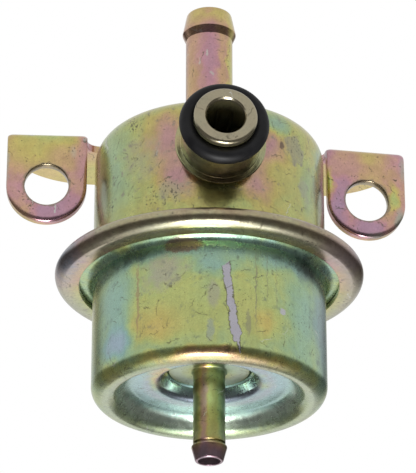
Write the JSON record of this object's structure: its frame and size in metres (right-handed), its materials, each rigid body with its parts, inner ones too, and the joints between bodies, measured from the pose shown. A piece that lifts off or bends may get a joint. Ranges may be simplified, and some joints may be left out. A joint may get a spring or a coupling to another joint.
{
  "type": "fuel pressure regulator",
  "caption": "Diaphragm fuel pressure regulator: crimped steel cups, O-ring side inlet, barbed return pipe, vacuum nipple and a folded bracket with bolt ears.",
  "frame": {"origin": "midway between the centres of the bracket's two bolt holes, on the front plane of its ears", "axes": "+Z along the body's axis towards the return pipe, -Y the way the ears face and the inlet port points, +X from the left ear to the right ear"},
  "size_m": [0.068, 0.0551, 0.0818],
  "materials": {
    "plated_bracket": "yellow chromated zinc plate, semi-gloss with pink and olive tints",
    "plated_fuel_cup": "yellow chromated zinc plate, semi-gloss with green and pink tints",
    "plated_spring_cup": "yellow chromated zinc plate, semi-gloss with green and blue tints, scratched",
    "plated_pipe": "yellow chromated zinc plate, semi-gloss with rose and olive tints",
    "plated_port": "yellow chromated zinc plate over turned steel, glossy",
    "plated_nipple": "yellow chromated zinc plate over turned steel, glossy",
    "seal_rubber": "black fuel-resistant rubber, soft sheen",
    "fabric_rubber": "fabric-reinforced rubber, matte",
    "bright_plate": "pressed steel, satin",
    "turned_steel": "turned steel, satin",
    "lapped_steel": "hardened and lapped",
    "bearing_steel": "polished",
    "spring_steel": "drawn wire, oiled"
  },
  "bodies": {
    "housing": {"mounting_bracket": "plated_bracket", "fuel_chamber_cup": "plated_fuel_cup", "spring_chamber_cup": "plated_spring_cup", "return_pipe": "plated_pipe", "valve_seat": "lapped_steel", "inlet_port": "plated_port", "inlet_o_ring": "seal_rubber", "vacuum_nipple": "plated_nipple", "diaphragm": "fabric_rubber", "spring_seat": "bright_plate", "main_spring": "spring_steel"},
    "valve_carrier": {"diaphragm_plate": "bright_plate", "spring_plate": "bright_plate", "valve_holder": "turned_steel", "ball_retainer": "turned_steel", "ball_spring": "spring_steel"},
    "valve": {"valve_ball": "bearing_steel", "valve_disc": "lapped_steel"}
  },
  "joints": [
    {"name": "valve_lift", "type": "slide", "parent": "housing", "child": "valve_carrier", "axis": [0, 0, -1], "range_m": [0, 0.001], "stiffness_N_per_m": 2000, "springref_m": -0.0004, "deforming": ["main_spring", "diaphragm"]},
    {"name": "valve_tilt", "type": "hinge", "parent": "valve_carrier", "child": "valve", "pos_m": [0, -0.002, -0.01315], "axis": [1, 0, 0], "range_deg": [-2.5, 2.5], "stiffness_Nm_per_rad": 0.0001}
  ]
}
